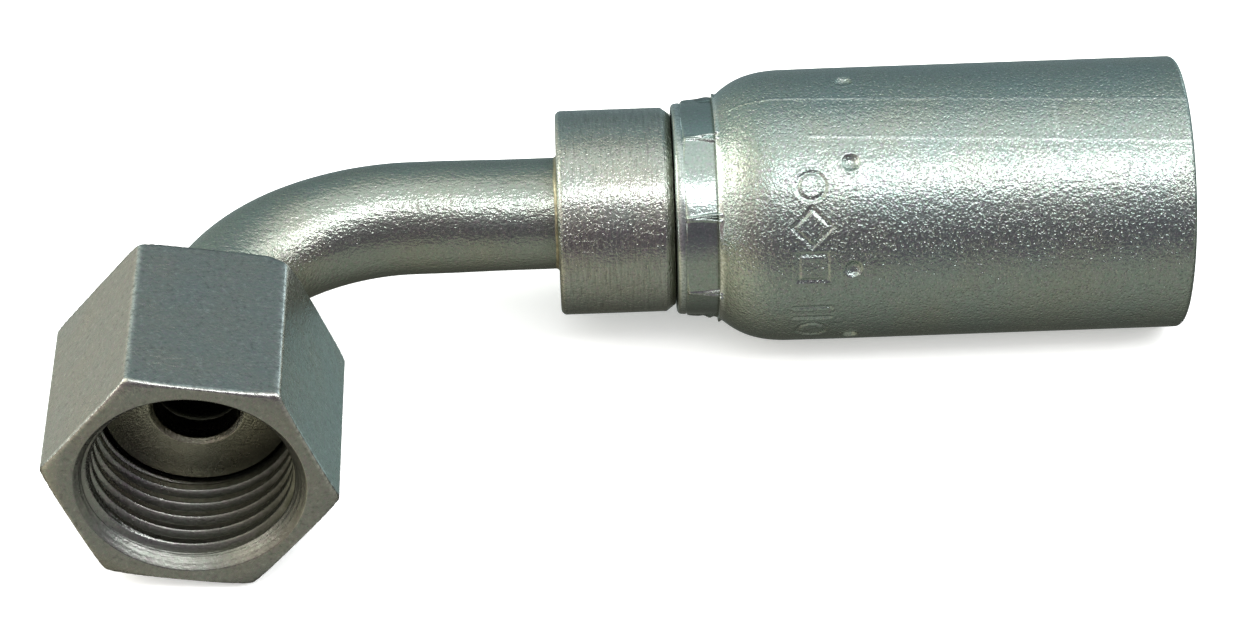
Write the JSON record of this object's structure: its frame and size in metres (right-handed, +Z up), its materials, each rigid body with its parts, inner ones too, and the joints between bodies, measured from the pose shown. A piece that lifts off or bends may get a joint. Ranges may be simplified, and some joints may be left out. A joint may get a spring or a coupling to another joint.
{
  "type": "hydraulic hose crimp fitting",
  "caption": "Crimp fitting for a hydraulic hose: bent steel tube elbow with a face-seal swivel nut on one end and a hose stem in a crimp shell on the other.",
  "frame": {"origin": "centre of the flat seat inside the swivel nut, on the nut's axis", "axes": "-Y points out of the nut's open end along its axis, +X runs along the hose stem towards the shell's open mouth, +Z is up with the fitting lying flat"},
  "size_m": [0.0943, 0.0444, 0.0232],
  "materials": {
    "zinc_nut": "zinc plated, satin",
    "zinc_sleeve": "zinc plated, turned",
    "zinc_tube": "zinc plated, satin",
    "zinc_stem": "zinc plated, turned",
    "zinc_shell": "zinc plated, satin",
    "braze_filler": "dull filler"
  },
  "bodies": {
    "fitting": {"face_seal_sleeve": "zinc_sleeve", "elbow_tube": "zinc_tube", "braze_ring_sleeve": "braze_filler", "braze_ring_stem": "braze_filler", "hose_stem": "zinc_stem", "crimp_shell": "zinc_shell"},
    "nut": {"swivel_nut": "zinc_nut"}
  },
  "joints": [
    {"name": "nut_swivel", "type": "hinge", "parent": "fitting", "child": "nut", "pos_m": [0, 0, 0], "axis": [0, 1, 0], "continuous": true}
  ]
}
